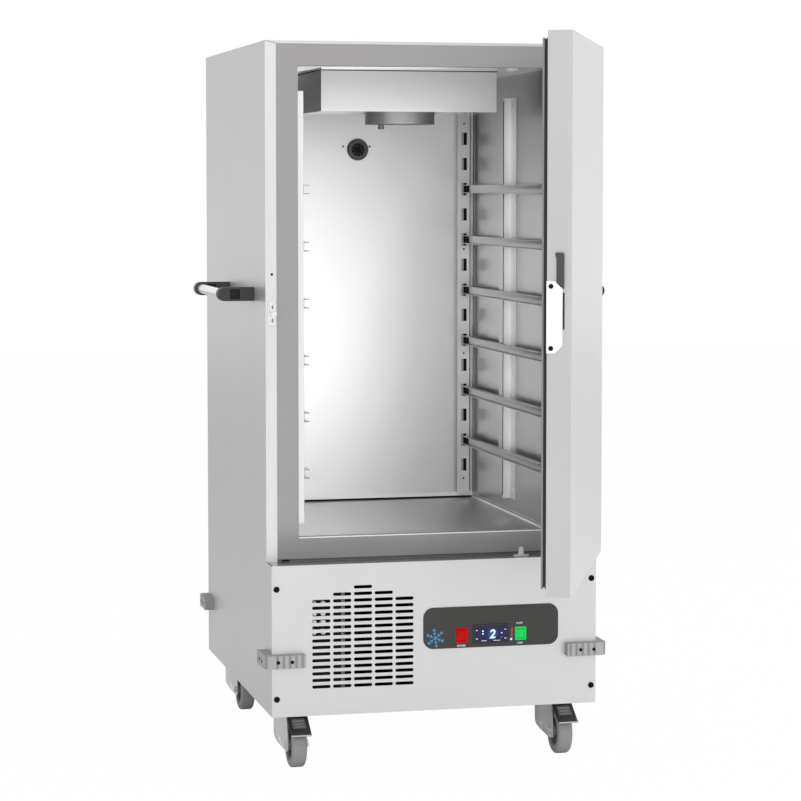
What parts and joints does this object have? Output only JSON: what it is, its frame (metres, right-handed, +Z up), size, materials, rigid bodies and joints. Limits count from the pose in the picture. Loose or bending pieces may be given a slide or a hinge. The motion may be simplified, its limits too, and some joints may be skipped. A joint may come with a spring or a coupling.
{
  "type": "refrigerated banquet cart",
  "caption": "Upright insulated cart on swivel casters with a hinged door, tray runners inside, a cooling unit below and push handles on its sides.",
  "frame": {"origin": "on the floor, under the middle of the box round the whole cart with its door at the rest angle", "axes": "+X to the right seen from the front, +Y towards the back, +Z up"},
  "size_m": [0.88, 1.4638, 1.558],
  "materials": {
    "stainless": "satin stainless sheet",
    "frame_grey": "grey moulded thermal break",
    "foam": "rigid foam",
    "black_screw": "black domed screw",
    "control_plate": "charcoal printed plate",
    "display": "glossy thermostat front",
    "black_plastic": "black moulded plastic",
    "red_rocker": "lit red rocker",
    "green_rocker": "lit green rocker",
    "bumper_rubber": "ribbed grey bumper rubber",
    "valve_plastic": "grey plastic",
    "cone_plastic": "pale plastic",
    "gasket": "soft grey gasket",
    "latch_case": "pale cast latch case",
    "latch_lever": "dark grey lever",
    "strike": "polished strike",
    "coil": "finned coil",
    "compressor": "black compressor shell",
    "caster_steel": "bright zinc-plated steel",
    "tread": "grey non-marking tread",
    "hub": "dark hub",
    "pedal": "dark brake pedal"
  },
  "bodies": {
    "root": {"left_side_panel": "stainless", "right_side_panel": "stainless", "top_panel": "stainless", "back_panel": "stainless", "deck_panel": "stainless", "liner_walls": "stainless", "liner_floor_pan": "stainless", "lower_front_panel": "stainless", "base_pan": "stainless", "front_uprights": "stainless", "rear_uprights": "stainless", "mid_supports": "stainless", "left_runners": "stainless", "right_runners": "stainless", "evaporator_cover": "stainless", "handle_tubes": "stainless", "hinge_frame_leaves": "stainless", "breaker_frame": "frame_grey", "foam_insulation": "foam", "panel_screws": "black_screw", "control_plate": "control_plate", "thermostat": "display", "rocker_frames": "black_plastic", "handle_arms": "black_plastic", "cable_gland": "black_plastic", "sensor_gland": "black_plastic", "fan_ring": "black_plastic", "corner_bumpers": "bumper_rubber", "vent_valve": "valve_plastic", "guide_cone": "cone_plastic", "latch_strike": "strike", "evaporator_coil": "coil", "condenser": "coil", "compressor": "compressor", "caster_plates": "caster_steel"},
    "door": {"door_outer_skin": "stainless", "door_inner_liner": "stainless", "door_foam": "foam", "door_gasket": "gasket", "hinge_door_leaves": "stainless", "latch_case": "latch_case"},
    "condenser_fan": {"condenser_fan": "black_plastic"},
    "evaporator_fan": {"evaporator_fan": "black_plastic"},
    "green_rocker": {"green_rocker": "green_rocker"},
    "latch_lever": {"latch_lever": "latch_lever"},
    "red_rocker": {"red_rocker": "red_rocker"},
    "front_left_caster": {"front_left_fork": "caster_steel"},
    "front_left_wheel": {"front_left_tyre": "tread", "front_left_hub": "hub"},
    "front_left_brake": {"front_left_pedal": "pedal"},
    "front_right_caster": {"front_right_fork": "caster_steel"},
    "front_right_wheel": {"front_right_tyre": "tread", "front_right_hub": "hub"},
    "front_right_brake": {"front_right_pedal": "pedal"},
    "rear_left_caster": {"rear_left_fork": "caster_steel"},
    "rear_left_wheel": {"rear_left_tyre": "tread", "rear_left_hub": "hub"},
    "rear_right_caster": {"rear_right_fork": "caster_steel"},
    "rear_right_wheel": {"rear_right_tyre": "tread", "rear_right_hub": "hub"}
  },
  "joints": [
    {"name": "door_hinge", "type": "hinge", "parent": "root", "child": "door", "pos_m": [0.3486, -0.0938, 1.001], "axis": [0, 0, 1], "range_deg": [-66.9, 53.1]},
    {"name": "latch_lever_pivot", "type": "hinge", "parent": "door", "child": "latch_lever", "pos_m": [0.0843, -0.7142, 1.052], "axis": [0.3923, 0.9198, 0], "range_deg": [0, 10], "stiffness_Nm_per_rad": 1},
    {"name": "red_rocker_tilt", "type": "hinge", "parent": "root", "child": "red_rocker", "pos_m": [0.0551, -0.12708, 0.2827], "axis": [1, 0, 0], "range_deg": [-20, 0]},
    {"name": "green_rocker_tilt", "type": "hinge", "parent": "root", "child": "green_rocker", "pos_m": [0.1882, -0.12785, 0.2815], "axis": [1, 0, 0], "range_deg": [-20, 0]},
    {"name": "evaporator_fan_spin", "type": "hinge", "parent": "root", "child": "evaporator_fan", "pos_m": [0, 0.2119, 1.4146], "axis": [0, 0, 1], "continuous": true},
    {"name": "condenser_fan_spin", "type": "hinge", "parent": "root", "child": "condenser_fan", "pos_m": [-0.2093, 0.0319, 0.26025], "axis": [1, 0, 0], "continuous": true},
    {"name": "front_left_swivel", "type": "hinge", "parent": "root", "child": "front_left_caster", "pos_m": [-0.297, -0.0331, 0.124], "axis": [0, 0, 1], "continuous": true},
    {"name": "front_left_roll", "type": "hinge", "parent": "front_left_caster", "child": "front_left_wheel", "pos_m": [-0.297, -0.0681, 0.05], "axis": [1, 0, 0], "continuous": true},
    {"name": "front_left_pedal_press", "type": "hinge", "parent": "front_left_caster", "child": "front_left_brake", "pos_m": [-0.297, -0.0621, 0.112], "axis": [1, 0, 0], "range_deg": [0, 7], "stiffness_Nm_per_rad": 0.6},
    {"name": "front_right_swivel", "type": "hinge", "parent": "root", "child": "front_right_caster", "pos_m": [0.297, -0.0331, 0.124], "axis": [0, 0, 1], "continuous": true},
    {"name": "front_right_roll", "type": "hinge", "parent": "front_right_caster", "child": "front_right_wheel", "pos_m": [0.297, -0.0681, 0.05], "axis": [1, 0, 0], "continuous": true},
    {"name": "front_right_pedal_press", "type": "hinge", "parent": "front_right_caster", "child": "front_right_brake", "pos_m": [0.297, -0.0621, 0.112], "axis": [1, 0, 0], "range_deg": [0, 7], "stiffness_Nm_per_rad": 0.6},
    {"name": "rear_left_swivel", "type": "hinge", "parent": "root", "child": "rear_left_caster", "pos_m": [-0.297, 0.5979, 0.124], "axis": [0, 0, 1], "continuous": true},
    {"name": "rear_left_roll", "type": "hinge", "parent": "rear_left_caster", "child": "rear_left_wheel", "pos_m": [-0.297, 0.5629, 0.05], "axis": [1, 0, 0], "continuous": true},
    {"name": "rear_right_swivel", "type": "hinge", "parent": "root", "child": "rear_right_caster", "pos_m": [0.297, 0.5979, 0.124], "axis": [0, 0, 1], "continuous": true},
    {"name": "rear_right_roll", "type": "hinge", "parent": "rear_right_caster", "child": "rear_right_wheel", "pos_m": [0.297, 0.5629, 0.05], "axis": [1, 0, 0], "continuous": true}
  ]
}
